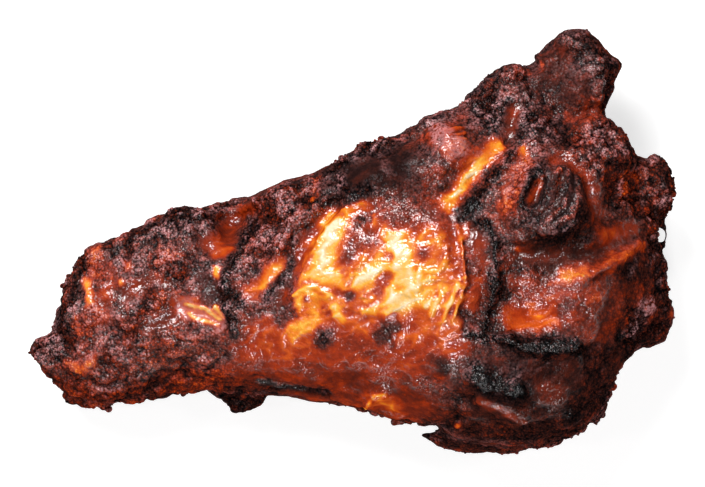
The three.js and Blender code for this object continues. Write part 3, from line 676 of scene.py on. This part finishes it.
def stroke_share(spots, spread, mark, steepness):
    """The spots that a mark reaches, and its share of each, one half at its reach times the spot's spread."""
    corners = np.array(mark.path, float)
    margin = STROKE_MARGIN * mark.reach
    inside = (spots > corners.min(axis=0) - margin) & (spots < corners.max(axis=0) + margin)
    reached = np.flatnonzero(inside.all(axis=1))
    distance = path_distance(spots[reached], mark.path)
    return reached, np.exp2(-((distance / (mark.reach * spread[reached])) ** steepness))


def painted(clean, ragged, spread, value_name, start):
    """One value of the marks, laid over each other in order. Crusted marks have ragged edges."""
    values = np.full(len(clean), start)
    for mark in MARKS:
        spots = ragged if mark.crust > RAGGED_CRUST else clean
        reached, share = stroke_share(spots, spread, mark, PAINT_STEEPNESS)
        values[reached] += share * (getattr(mark, value_name) - values[reached])
    return values


def within_reach(places, spots):
    """1 for places in the middle of the spots, 0 away from them."""
    nearness = [path_distance(places, spot.path) / spot.reach for spot in spots]
    return 1 - smoothstep(*SPOT_EDGE, np.min(nearness, axis=0))


def lifted(spots, spread):
    """The marks' lifts, added up, in millimetres."""
    total = np.zeros(len(spots))
    for mark in MARKS:
        if mark.lift:
            reached, share = stroke_share(spots, spread, mark, LIFT_STEEPNESS)
            total[reached] += share * mark.lift
    return total


# Meshes

def points_of(mesh):
    """A mesh's points in millimetres."""
    flat = np.zeros(len(mesh.vertices) * 3)
    mesh.vertices.foreach_get("co", flat)
    return flat.reshape(-1, 3) / MM


def normals_of(mesh):
    """A mesh's point normals."""
    flat = np.zeros(len(mesh.vertices) * 3)
    mesh.vertex_normals.foreach_get("vector", flat)
    return flat.reshape(-1, 3)


def move_points(mesh, points):
    """Puts a mesh's points at places in millimetres."""
    mesh.vertices.foreach_set("co", (points * MM).ravel())
    mesh.update()


def piece_of(name, mesh):
    """A new object at the origin that shows a mesh."""
    piece = bpy.data.objects.new(name, mesh)
    bpy.context.scene.collection.objects.link(piece)
    return piece


def with_modifier(piece, kind, **settings):
    """Adds a modifier to a piece and makes its result the piece's plain mesh."""
    modifier = piece.modifiers.new(kind.lower(), kind)
    for name, value in settings.items():
        setattr(modifier, name, value)
    bake_modifiers(piece)


def bake_modifiers(piece):
    """Makes the result of a piece's modifiers its plain mesh."""
    evaluated = piece.evaluated_get(bpy.context.evaluated_depsgraph_get())
    mesh = bpy.data.meshes.new_from_object(evaluated)
    old = piece.data
    piece.modifiers.clear()
    piece.data = mesh
    bpy.data.meshes.remove(old)


def evened(piece, voxel, rounds):
    """Rebuilds a piece as one closed skin of even cells and smooths away their steps."""
    with_modifier(piece, "REMESH", mode="VOXEL", voxel_size=voxel)
    with_modifier(piece, "SMOOTH", factor=SMOOTHING_FACTOR, iterations=rounds)


def smooth_path(path, radii, step):
    """Spots and radii at even steps along a path of straight stretches."""
    knots = np.column_stack([np.array(path, float), np.array(radii, float)])
    lengths = np.linalg.norm(np.diff(knots[:, :2], axis=0), axis=1)
    along = np.concatenate([[0], np.cumsum(lengths)])
    count = max(2, math.ceil(along[-1] / step) + 1)
    samples = np.linspace(0, along[-1], count)
    return np.column_stack([np.interp(samples, along, column) for column in knots.T])


def unit_bead():
    """The points and faces of a ball of radius 1."""
    ball = bmesh.new()
    bmesh.ops.create_icosphere(ball, subdivisions=2, radius=1)
    points = np.array([v.co for v in ball.verts])
    faces = np.array([[v.index for v in f.verts] for f in ball.faces])
    ball.free()
    return points, faces


def fold_beads(fold, solid):
    """Middle and radius of each bead of a fold. On the skin a middle lies a third of its radius deep."""
    for across, down, radius in smooth_path(fold.path, fold.radii, BEAD_STEP):
        middle = place((across, down), (fold.height or BEAD_HEIGHT) * MM)
        if fold.height is None:
            hit = solid.ray_cast(place((across, down), RAY_START), Vector((0, 0, -1)))[0]
            middle = hit or solid.find_nearest(middle)[0]
            middle = middle - Vector((0, 0, radius * MM / 3))
        yield np.array(middle), radius * MM


def with_beads(mesh, beads):
    """A mesh's points and faces with beads added to them."""
    ball_points, ball_faces = unit_bead()
    points = [points_of(mesh) * MM]
    faces = [np.array([f.vertices[:] for f in mesh.polygons])]
    count = len(points[0])
    for middle, radius in beads:
        points.append(middle + radius * ball_points)
        faces.append(ball_faces + count)
        count += len(ball_points)
    return np.concatenate(points), np.concatenate(faces)


def merged_wing():
    """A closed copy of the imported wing."""
    shape = bmesh.new()
    shape.from_mesh(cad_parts["wing"].data)
    bmesh.ops.remove_doubles(shape, verts=shape.verts, dist=MERGE_DISTANCE)
    mesh = bpy.data.meshes.new("wing_skin")
    shape.to_mesh(mesh)
    shape.free()
    return piece_of("wing_skin", mesh)


def wing_core():
    """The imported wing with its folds, fused into one closed skin."""
    core = merged_wing()
    for gap in GAPS:
        cut_gap(core, gap)
    solid = BVHTree.FromPolygons([v.co for v in core.data.vertices], [f.vertices for f in core.data.polygons])
    beads = [bead for fold in FOLDS for bead in fold_beads(fold, solid)]
    points, faces = with_beads(core.data, beads)
    mesh = bpy.data.meshes.new("wing_skin")
    mesh.from_pydata(points.tolist(), [], faces.tolist())
    core.data = mesh
    evened(core, CORE_VOXEL, CORE_SMOOTHING)
    return core


def cut_gap(core, gap):
    """Cuts a gap right through the core."""
    shape = bmesh.new()
    face = shape.faces.new([shape.verts.new(place(spot, GAP_BOTTOM)) for spot in gap.outline])
    top = bmesh.ops.extrude_face_region(shape, geom=[face])["geom"]
    lifted_points = [item for item in top if isinstance(item, bmesh.types.BMVert)]
    bmesh.ops.translate(shape, verts=lifted_points, vec=(0, 0, GAP_HEIGHT))
    bmesh.ops.recalc_face_normals(shape, faces=shape.faces)
    mesh = bpy.data.meshes.new("gap")
    shape.to_mesh(mesh)
    shape.free()
    cutter = piece_of("gap", mesh)
    with_modifier(core, "BOOLEAN", operation="DIFFERENCE", object=cutter, solver="EXACT")
    with_modifier(core, "TRIANGULATE")
    bpy.data.objects.remove(cutter)


def upper_share(normals):
    """1 where the skin faces up, 0 where it faces down, and between them on the sides."""
    return smoothstep(*MARKED_SLOPES, normals[:, 2])


def swayed(points):
    """Picture pixels of points, shifted in slow swells so that strokes aren't straight."""
    return plan(points) + np.stack([swells(points, kind) for kind in SWAYS], axis=1)


def frayed(points):
    """Picture pixels of points, shifted unevenly as well so that strokes get ragged edges."""
    return swayed(points) + np.stack([swells(points, kind) for kind in FRAYS], axis=1)


def along_wrinkles(points):
    """Points turned to the way that the skin's wrinkles run, and squeezed along it."""
    turn = math.radians(WRINKLE_ANGLE)
    along = points[:, 0] * math.cos(turn) + points[:, 1] * math.sin(turn)
    across = points[:, 1] * math.cos(turn) - points[:, 0] * math.sin(turn)
    return np.stack([along / WRINKLE_STRETCH, across, points[:, 2]], axis=1)


def above_table(points, moved):
    """Keeps moved points off the table, and the flat spot that the wing rests on still."""
    share = smoothstep(*MOVED_HEIGHTS, points[:, 2])[:, None]
    kept = points + share * (moved - points)
    kept[:, 2] = np.maximum(kept[:, 2], 0)
    return kept


def within_box(points):
    """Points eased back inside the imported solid's box, apart from its floor."""
    low, high = np.array(CAD_BOX) / MM
    low[2] -= FLOOR_ROOM * BOX_EASE
    eased = high - BOX_EASE * np.logaddexp(0, (high - points) / BOX_EASE)
    return low + BOX_EASE * np.logaddexp(0, (eased - low) / BOX_EASE)


def carve(core):
    """Hollows, ridges and uneven swells of the skin, then even cells again."""
    points = points_of(core.data)
    normals = normals_of(core.data)
    rise = upper_share(normals) * lifted(swayed(points), 1 + swells(points, LIFT_SPREAD))
    rise += swells(points, SKIN_SWELL)
    move_points(core.data, above_table(points, points + rise[:, None] * normals))
    evened(core, SKIN_VOXEL, SKIN_SMOOTHING)


def skin_values(points, normals):
    """Browning and crust of each point, from the marks above and an even roast below."""
    upper = upper_share(normals)
    clean = swayed(points)
    ragged = frayed(points)
    spread = 1 + swells(points, PAINT_SPREAD)
    browning = painted(clean, ragged, spread, "browning", PLAIN_BROWNING)
    crust = painted(clean, ragged, spread, "crust", PLAIN_CRUST)
    below = UNDERSIDE_BROWNING + swells(points, UNDERSIDE_TONES)
    browning = below + upper * (browning - below)
    below = UNDERSIDE_CRUST + swells(points, UNDERSIDE_PATCHES)
    crust = np.clip(below + upper * (crust - below), 0, 1)
    return browning, crust


# The skin before it is grained: its points, their slopes and normals, the values of the marks, the pebbles of
# the crust, the skin's wrinkles, and how much of a point is wrinkled, crevice, gap, steep side and bump.
Surface = namedtuple("Surface", "points normals slope browning crust lumps bits crumbs ridges "
                     "wrinkled crevice gaps steep bumps")


def surface_of(mesh):
    """The surface of the skin before it is grained."""
    points = points_of(mesh)
    normals = normals_of(mesh)
    slope = normals[:, 2]
    browning, crust = skin_values(points, normals)
    bent = points + np.stack([swells(points, kind) for kind in PEBBLE_BENDS], axis=1)
    lumps, bits, crumbs = (pebbles(bent, kind) for kind in (LUMPS, BITS, CRUMBS))
    ridges = (1 - np.abs(swells(along_wrinkles(points), WRINKLES))) ** 3
    wrinkled = (1 - crust) * (1 - STIFF_WRINKLE_LOSS * smoothstep(*STIFF_BROWNINGS, browning))
    crevice = crust * (1 - smoothstep(*CREVICE_HEIGHTS, np.minimum(lumps.height, bits.height)))
    gaps = crust * (1 - smoothstep(*CRUMB_GAP_HEIGHTS, crumbs.height))
    steep = 1 - smoothstep(*FLAT_SLOPES, slope)
    bumps = smoothstep(*BUMP_HEIGHTS, np.maximum(lumps.height, bits.height))
    return Surface(points, normals, slope, browning, crust, lumps, bits, crumbs, ridges,
                   wrinkled, crevice, gaps, steep, bumps)


def pebble_rise(kind, found):
    """Rise in millimetres of pebbles of a kind, higher on those with larger numbers."""
    return kind.depth * (found.height - kind.level) * (kind.least + found.number)


def grain_rise(surface):
    """Rise in millimetres of each point, from the crust's pebbles and the skin's wrinkles."""
    rise = pebble_rise(LUMPS, surface.lumps) + pebble_rise(BITS, surface.bits)
    rise = surface.crust * (rise + pebble_rise(CRUMBS, surface.crumbs))
    return rise + surface.wrinkled * WRINKLE_DEPTH * (surface.ridges - WRINKLE_LEVEL)


def browning_and_painted_shading(surface):
    """Browning of each point, with painted shade in the crust's crevices and gaps, painted light on wrinkle
    ridges and painted shade in their valleys, and uneven from pebble to pebble.
    """
    # Painted shade in the crevices between lumps and the gaps between crumbs.
    browning = surface.browning + CREVICE_PAINTED_SHADE * surface.crevice + CRUMB_GAP_PAINTED_SHADE * surface.gaps
    browning -= CRUST_PALING * surface.crust
    tones = BITS.tone * (surface.bits.number - 0.5) + LUMPS.tone * (surface.lumps.number - 0.5)
    browning += surface.crust * tones
    # Painted highlight on wrinkle ridges and painted shade in their valleys.
    wrinkle_shading = surface.wrinkled * WRINKLE_PAINTED_SHADING * (WRINKLE_PAINTED_SHADING_LEVEL - surface.ridges)
    browning += swells(surface.points, TONE_SWELL) + wrinkle_shading
    return np.minimum(browning, np.maximum(surface.browning, DARKEST_CRUST))


def painted_sheen_of(surface, browning, normals):
    """Painted lilac sheen of each point, a painted highlight: on crust turned to the light, on bumps of the
    sides and in the spots of painted sheen.
    """
    lit = smoothstep(*LIT_SIDES, normals @ np.array(PAINTED_SHEEN_SIDE))
    patches = smoothstep(*PATCH_RANGE, swells(surface.points, SHEEN_PATCHES))
    sheen = surface.crust ** 2 * lit * (LEAST_SHEEN + PATCH_SHEEN * patches)
    sheen *= (1 - smoothstep(*SHEENLESS_BROWNINGS, browning)) * (1 - surface.crevice)
    sheen = np.maximum(sheen, SIDE_SHEEN * surface.steep * surface.crust * patches * surface.bumps)
    pale = within_reach(frayed(surface.points), PAINTED_SHEEN_SPOTS) * smoothstep(*PAINTED_SHEEN_SLOPES, surface.slope)
    pale *= (1 - WRINKLE_SHEEN_LOSS * surface.wrinkled) * (1 - surface.crevice)
    sheen = np.maximum(sheen, SPOT_SHEEN * pale)
    return sheen * (1 - CRUMB_GAP_SHEEN_LOSS * surface.gaps)


def wet_shine(surface, browning):
    """Shine of each point that faces up: of skin and crust, less in crevices and dull spots, and of char."""
    facing = SIDE_SHINE + (1 - SIDE_SHINE) * smoothstep(*SHINY_SLOPES, surface.slope)
    dark_skin = smoothstep(*DARK_SKIN_BROWNINGS, browning) * (1 - surface.crust)
    shine = facing * (1 - CRUST_SHINE_LOSS * surface.crust) * (1 - CREVICE_SHINE_LOSS * surface.crevice)
    shine *= 1 - DARK_SKIN_SHINE_LOSS * dark_skin
    shine *= 1 - DULL_SPOT_SHINE_LOSS * within_reach(swayed(surface.points), DULL_SPOTS)
    return np.maximum(shine, CHAR_SHINE * facing * smoothstep(*CHAR_BROWNINGS, browning))


def grain_densities(surface, browning):
    """Density from 0 to 1 of each kind of loose grain, by its name."""
    clump = smoothstep(*CLUMP_RANGE, swells(surface.points, GRAIN_CLUMPS))
    off_table = smoothstep(*GRAINY_HEIGHTS, surface.points[:, 2])
    upward = smoothstep(*GRAINY_SLOPES, surface.slope)
    burnt = smoothstep(*BEAD_BROWNINGS, browning) * smoothstep(*BEAD_CRUSTS, surface.crust)
    return {
        "grains": surface.crust ** 2 * clump * off_table * (SIDE_GRAINS + (1 - SIDE_GRAINS) * upward),
        "pebbles": smoothstep(*PEBBLE_CRUSTS, surface.crust) * clump * off_table,
        "beads": burnt * clump * upward,
    }


def grain_skin(skin):
    """Grains the skin, and keeps on its points the values that its finish and its loose grains read."""
    surface = surface_of(skin.data)
    grained = surface.points + grain_rise(surface)[:, None] * surface.normals
    move_points(skin.data, within_box(above_table(surface.points, grained)))
    browning = browning_and_painted_shading(surface)
    # The painted lilac sheen, a painted highlight, kept for the finish.
    keep_value(skin.data, "painted_sheen", painted_sheen_of(surface, browning, normals_of(skin.data)))
    # Painted shade in low places of the crusted sides, and painted light on their bumps.
    browning += SIDE_PAINTED_SHADING * surface.steep * surface.crust * (SIDE_BUMP_LEVEL - surface.bumps)
    keep_value(skin.data, "browning", np.clip(browning, 0, 1))
    keep_value(skin.data, "crust", surface.crust)
    keep_value(skin.data, "wrinkled", surface.wrinkled)
    keep_value(skin.data, "shine", wet_shine(surface, browning))
    for name, density in grain_densities(surface, browning).items():
        keep_value(skin.data, name, density)


def split_height(mesh):
    """The height above which a mesh of triangles has as many of them as one piece may hold."""
    centres = np.zeros(len(mesh.polygons) * 3)
    mesh.polygons.foreach_get("center", centres)
    return float(np.sort(centres[2::3])[-UPPER_TRIANGLES])


def island_of(point, unseen):
    """The points of a shape that hang together with a point, taken out of the unseen ones."""
    unseen.discard(point)
    island = [point]
    for reached in island:
        for edge in reached.link_edges:
            other = edge.other_vert(reached)
            if other in unseen:
                unseen.discard(other)
                island.append(other)
    return island


def drop_scraps(shape):
    """Deletes the islands of a shape, apart from its largest."""
    unseen = set(shape.verts)
    islands = [island_of(point, unseen) for point in shape.verts if point in unseen]
    islands.sort(key=len)
    scraps = [point for island in islands[:-1] for point in island]
    bmesh.ops.delete(shape, geom=scraps, context="VERTS")


def part_of(skin, name, height, side):
    """The part of the skin above a height, at side 1, or below it, at side -1, closed by flat caps."""
    shape = bmesh.new()
    shape.from_mesh(skin.data)
    everything = [*shape.verts, *shape.edges, *shape.faces]
    cut = bmesh.ops.bisect_plane(shape, geom=everything, plane_co=(0, 0, height), plane_no=(0, 0, -side),
                                 clear_outer=True)["geom_cut"]
    rim = [item for item in cut if isinstance(item, bmesh.types.BMEdge)]
    caps = bmesh.ops.holes_fill(shape, edges=rim)["faces"]
    for face in bmesh.ops.triangulate(shape, faces=caps)["faces"]:
        face.smooth = False
    drop_scraps(shape)
    bmesh.ops.recalc_face_normals(shape, faces=shape.faces)
    mesh = bpy.data.meshes.new(name)
    shape.to_mesh(mesh)
    shape.free()
    mesh.materials.append(skin.data.materials[0])
    return piece_of(name, mesh)


def keep_value(mesh, name, values):
    """Keeps a number on each point of a mesh for its material."""
    attribute = mesh.attributes.new(name, "FLOAT", "POINT")
    attribute.data.foreach_set("value", values.astype(np.float32))


# Loose grains of crust

def grain_tree(name, sides):
    """A node tree that scatters grains over a mesh, thickest where its density attribute is 1."""
    tree = bpy.data.node_groups.new(name, "GeometryNodeTree")
    tree.interface.new_socket("Mesh", in_out="INPUT", socket_type="NodeSocketGeometry")
    for label, kind in (("Density Name", "NodeSocketString"), ("Spacing", "NodeSocketFloat"),
                        ("Smallest", "NodeSocketFloat"), ("Largest", "NodeSocketFloat"),
                        ("Seed", "NodeSocketInt"), ("Finish", "NodeSocketMaterial")):
        tree.interface.new_socket(label, in_out="INPUT", socket_type=kind)
    tree.interface.new_socket("Grains", in_out="OUTPUT", socket_type="NodeSocketGeometry")
    given = node(tree, "NodeGroupInput").outputs
    density = node(tree, "GeometryNodeInputNamedAttribute", data_type="FLOAT")
    spread = node(tree, "GeometryNodeDistributePointsOnFaces", distribute_method="POISSON")
    size = node(tree, "FunctionNodeRandomValue", data_type="FLOAT")
    shape = node(tree, "FunctionNodeRandomValue", data_type="FLOAT_VECTOR")
    shape.inputs["Min"].default_value = LEAST_STRETCH
    shape.inputs["Max"].default_value = MOST_STRETCH
    turn = node(tree, "FunctionNodeRandomValue", data_type="FLOAT_VECTOR")
    turn.inputs["Max"].default_value = FULL_TURN
    scale = node(tree, "ShaderNodeVectorMath", operation="SCALE")
    ball = node(tree, "GeometryNodeMeshIcoSphere")
    ball.inputs["Radius"].default_value = 1
    ball.inputs["Subdivisions"].default_value = sides
    copies = node(tree, "GeometryNodeInstanceOnPoints")
    real = node(tree, "GeometryNodeRealizeInstances")
    smooth = node(tree, "GeometryNodeSetShadeSmooth")
    finish = node(tree, "GeometryNodeSetMaterial")
    result = node(tree, "NodeGroupOutput")
    spread.inputs["Density Max"].default_value = MOST_GRAINS
    for start, end in (
        (given["Density Name"], density.inputs["Name"]),
        (given["Mesh"], spread.inputs["Mesh"]),
        (given["Spacing"], spread.inputs["Distance Min"]),
        (density.outputs["Attribute"], spread.inputs["Density Factor"]),
        (given["Seed"], spread.inputs["Seed"]),
        (given["Smallest"], size.inputs[2]),
        (given["Largest"], size.inputs[3]),
        (given["Seed"], size.inputs["Seed"]),
        (shape.outputs["Value"], scale.inputs["Vector"]),
        (size.outputs[1], scale.inputs["Scale"]),
        (spread.outputs["Points"], copies.inputs["Points"]),
        (ball.outputs["Mesh"], copies.inputs["Instance"]),
        (turn.outputs["Value"], copies.inputs["Rotation"]),
        (scale.outputs["Vector"], copies.inputs["Scale"]),
        (copies.outputs["Instances"], real.inputs["Geometry"]),
        (real.outputs["Geometry"], smooth.inputs["Geometry"]),
        (smooth.outputs["Geometry"], finish.inputs["Geometry"]),
        (given["Finish"], finish.inputs["Material"]),
        (finish.outputs["Geometry"], result.inputs["Grains"]),
    ):
        tree.links.new(start, end)
    return tree


def scatter(kind, skin, finish):
    """Makes a piece of loose grains of a kind, scattered over the skin."""
    inputs = {
        "Density Name": kind.density,
        "Spacing": kind.spacing * MM,
        "Smallest": kind.smallest * MM,
        "Largest": kind.largest * MM,
        "Seed": kind.seed,
        "Finish": finish,
    }
    piece = piece_of(kind.name, skin.data.copy())
    tree = grain_tree(kind.name, kind.sides)
    modifier = piece.modifiers.new(kind.name, "NODES")
    modifier.node_group = tree
    for item in tree.interface.items_tree:
        if item.in_out == "INPUT" and item.name in inputs:
            modifier[item.identifier] = inputs[item.name]
    bake_modifiers(piece)
    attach(piece, "root")


# Materials

def node(tree, kind, **settings):
    """A new node with its properties set."""
    made = tree.nodes.new(kind)
    for name, value in settings.items():
        setattr(made, name, value)
    return made


def math_node(tree, operation, first, second):
    """The result of a sum, product or the like of two numbers or links."""
    made = node(tree, "ShaderNodeMath", operation=operation)
    for socket, value in zip(made.inputs, (first, second)):
        if isinstance(value, bpy.types.NodeSocket):
            tree.links.new(value, socket)
        else:
            socket.default_value = value
    return made.outputs[0]


def kept_value(tree, name):
    """A number kept on the mesh's points."""
    return node(tree, "ShaderNodeAttribute", attribute_name=name).outputs["Fac"]


def object_noise(tree, size_mm, detail):
    """Noise on object coordinates, from 0 to 1."""
    noise = node(tree, "ShaderNodeTexNoise")
    noise.inputs["Scale"].default_value = 1 / (size_mm * MM)
    noise.inputs["Detail"].default_value = detail
    coordinates = node(tree, "ShaderNodeTexCoord").outputs["Object"]
    tree.links.new(coordinates, noise.inputs["Vector"])
    return noise.outputs["Fac"]


def browning_ramp(tree, value):
    """The colour of a browning."""
    ramp = node(tree, "ShaderNodeValToRGB")
    elements = ramp.color_ramp.elements
    while len(elements) < len(BROWNING_SCALE):
        elements.new(0.5)
    for element, (share, colour) in zip(elements, BROWNING_SCALE):
        element.position = share
        element.color = linear(colour)
    tree.links.new(value, ramp.inputs["Fac"])
    return ramp.outputs["Color"]


def with_painted_sheen(tree, colour, painted_sheen):
    """A colour with the painted sheen's colour over it, a painted highlight, as much as the painted sheen."""
    mix = node(tree, "ShaderNodeMix", data_type="RGBA")
    factor, first, second = mix.inputs[0], mix.inputs[6], mix.inputs[7]
    tree.links.new(painted_sheen, factor)
    tree.links.new(colour, first)
    second.default_value = linear(PAINTED_SHEEN_COLOUR)
    return mix.outputs[2]


def scaled_sum(tree, value, factor, offset):
    """A value times a factor plus an offset."""
    made = math_node(tree, "MULTIPLY_ADD", value, factor)
    made.node.inputs[2].default_value = offset
    return made


def granules(tree, size_mm):
    """Packed granules on object coordinates: their height and a random number for each."""
    cells = node(tree, "ShaderNodeTexVoronoi")
    cells.inputs["Scale"].default_value = 1 / (size_mm * MM)
    coordinates = node(tree, "ShaderNodeTexCoord").outputs["Object"]
    tree.links.new(coordinates, cells.inputs["Vector"])
    number = node(tree, "ShaderNodeSeparateColor")
    tree.links.new(cells.outputs["Color"], number.inputs["Color"])
    return scaled_sum(tree, cells.outputs["Distance"], -1, 1), number.outputs["Red"]


def wrinkle_noise(tree, size_mm):
    """Sharp ridges that run along the skin's wrinkles, on object coordinates."""
    squeeze = node(tree, "ShaderNodeMapping")
    squeeze.inputs["Rotation"].default_value = (0, 0, -math.radians(WRINKLE_ANGLE))
    squeeze.inputs["Scale"].default_value = (1 / WRINKLE_STRETCH, 1, 1)
    tree.links.new(node(tree, "ShaderNodeTexCoord").outputs["Object"], squeeze.inputs["Vector"])
    ridges = node(tree, "ShaderNodeTexNoise", noise_type="RIDGED_MULTIFRACTAL")
    ridges.inputs["Scale"].default_value = 1 / (size_mm * MM)
    ridges.inputs["Detail"].default_value = FINE_WRINKLE_DETAIL
    ridges.inputs["Distortion"].default_value = FINE_WRINKLE_DISTORTION
    tree.links.new(squeeze.outputs["Vector"], ridges.inputs["Vector"])
    return ridges.outputs["Fac"]


def roasted_colour(tree, height, number, shift):
    """Colour of the browning, speckled by the crust's granules with painted shade at their feet, and a
    painted lilac sheen on their tops.
    """
    crust = kept_value(tree, "crust")
    mottle = scaled_sum(tree, object_noise(tree, MOTTLE_SIZE, MOTTLE_DETAIL), 1, -0.5)
    mottle = math_node(tree, "MULTIPLY", mottle, scaled_sum(tree, crust, *MOTTLE_STRENGTH))
    granule_tone = scaled_sum(tree, number, *GRANULE_TONE)
    # Random tone of each granule, with painted shade at its foot.
    speckle_and_shade = math_node(tree, "ADD", granule_tone, scaled_sum(tree, height, *GRANULE_SHADE))
    tone = math_node(tree, "ADD", kept_value(tree, "browning"), mottle)
    tone = math_node(tree, "ADD", tone, math_node(tree, "MULTIPLY", speckle_and_shade, crust))
    # Painted lilac sheen, a painted highlight, on the granules' tops.
    tops = math_node(tree, "ADD", scaled_sum(tree, height, *GRANULE_SHEEN), kept_value(tree, "wrinkled"))
    tops.node.use_clamp = True
    painted_sheen = math_node(tree, "MULTIPLY", kept_value(tree, "painted_sheen"), tops)
    return with_painted_sheen(tree, browning_ramp(tree, scaled_sum(tree, tone, 1, shift)), painted_sheen)


def wet_coat(tree, height):
    """Weight of the wet coat, which is dull between the crust's granules."""
    dull = math_node(tree, "MULTIPLY", kept_value(tree, "crust"), scaled_sum(tree, height, *GRANULE_DULLNESS))
    return math_node(tree, "MULTIPLY", kept_value(tree, "shine"), scaled_sum(tree, dull, -1, 1))


def skin_relief(tree, height):
    """Normal of granules on crust, wrinkles on smooth skin, and a faint unevenness on both."""
    ridges = wrinkle_noise(tree, FINE_WRINKLE_SIZE)
    relief = math_node(tree, "MULTIPLY", height, kept_value(tree, "crust"))
    relief = math_node(tree, "ADD", relief, math_node(tree, "MULTIPLY", ridges, kept_value(tree, "wrinkled")))
    uneven = scaled_sum(tree, object_noise(tree, UNEVEN_SIZE, UNEVEN_DETAIL), UNEVEN_STRENGTH, 0)
    bump = node(tree, "ShaderNodeBump")
    bump.inputs["Distance"].default_value = RELIEF_DEPTH * MM
    tree.links.new(math_node(tree, "ADD", relief, uneven), bump.inputs["Height"])
    return bump.outputs["Normal"]


def set_sockets(shader, sockets):
    """Sets a shader's inputs to values, by name."""
    for name, value in sockets.items():
        shader.inputs[name].default_value = value


def roasted_material(name, shift, coat_roughness):
    """Roasted skin: coloured by its browning, wet and wrinkled where smooth, grainy where crusted."""
    material = bpy.data.materials.new(name)
    material.use_nodes = True
    tree = material.node_tree
    shader = tree.nodes["Principled BSDF"]
    set_sockets(shader, ROASTED_SOCKETS)
    shader.inputs["Coat Roughness"].default_value = coat_roughness
    height, number = granules(tree, GRANULE_SIZE)
    normal = skin_relief(tree, height)
    tree.links.new(roasted_colour(tree, height, number, shift), shader.inputs["Base Color"])
    tree.links.new(wet_coat(tree, height), shader.inputs["Coat Weight"])
    tree.links.new(normal, shader.inputs["Normal"])
    tree.links.new(normal, shader.inputs["Coat Normal"])
    return material


def floor_material():
    """Plain white studio floor with a faint light of its own."""
    material = bpy.data.materials.new("studio_white")
    material.use_nodes = True
    set_sockets(material.node_tree.nodes["Principled BSDF"], FLOOR_SOCKETS)
    return material


# Studio

def studio_floor():
    """A pale floor under the wing."""
    shape = bmesh.new()
    bmesh.ops.create_grid(shape, x_segments=1, y_segments=1, size=FLOOR_SIZE)
    mesh = bpy.data.meshes.new("floor")
    shape.to_mesh(mesh)
    shape.free()
    mesh.materials.append(floor_material())
    piece_of("floor", mesh)


def softbox(name, position, size, energy):
    """A square area light that faces the wing."""
    light = bpy.data.lights.new(name, "AREA")
    light.shape = "SQUARE"
    light.size = size
    light.energy = energy
    lamp = bpy.data.objects.new(name, light)
    lamp.location = position
    lamp.rotation_euler = (-Vector(position)).to_track_quat("-Z", "Y").to_euler()
    bpy.context.scene.collection.objects.link(lamp)


def studio_light():
    """A softbox over the back edge, weaker ones on the other sides, and dim white surroundings."""
    for name, position, size, energy in SOFTBOXES:
        softbox(name, position, size, energy)
    world = bpy.data.worlds.new("surroundings")
    world.use_nodes = True
    background = world.node_tree.nodes["Background"]
    background.inputs["Color"].default_value = (1, 1, 1, 1)
    background.inputs["Strength"].default_value = SURROUNDINGS_STRENGTH
    scene = bpy.context.scene
    scene.world = world
    scene.view_settings.view_transform = "Standard"


def studio_camera():
    """A long lens straight above, with the picture's up along +Y."""
    camera = bpy.data.cameras.new("camera")
    camera.sensor_width = SENSOR_WIDTH
    camera.lens = SENSOR_WIDTH * (CAMERA_HEIGHT - FOCUS_HEIGHT) / (PICTURE_SIZE[0] * PIXEL)
    camera.clip_start = CLIP_START
    holder = bpy.data.objects.new("camera", camera)
    middle = (PICTURE_SIZE[0] / 2, PICTURE_SIZE[1] / 2)
    holder.location = place(middle, CAMERA_HEIGHT)
    bpy.context.scene.collection.objects.link(holder)
    bpy.context.scene.camera = holder


studio_camera()
studio_light()
studio_floor()

skin = wing_core()
carve(skin)
grain_skin(skin)
with_modifier(skin, "TRIANGULATE")
skin.data.shade_smooth()
skin.data.materials.clear()
skin.data.materials.append(roasted_material("roasted_skin", 0.0, SKIN_COAT_ROUGHNESS))

crust_finish = roasted_material("charred_crust", CRUST_TONE, CRUST_COAT_ROUGHNESS)
for kind in SCATTERS:
    scatter(kind, skin, crust_finish)

middle_height = split_height(skin.data)
for name, side in (("wing_skin_top", 1), ("wing_skin_base", -1)):
    part = part_of(skin, name, middle_height, side)
    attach(part, "root")
    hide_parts("wing")
bpy.data.objects.remove(skin)
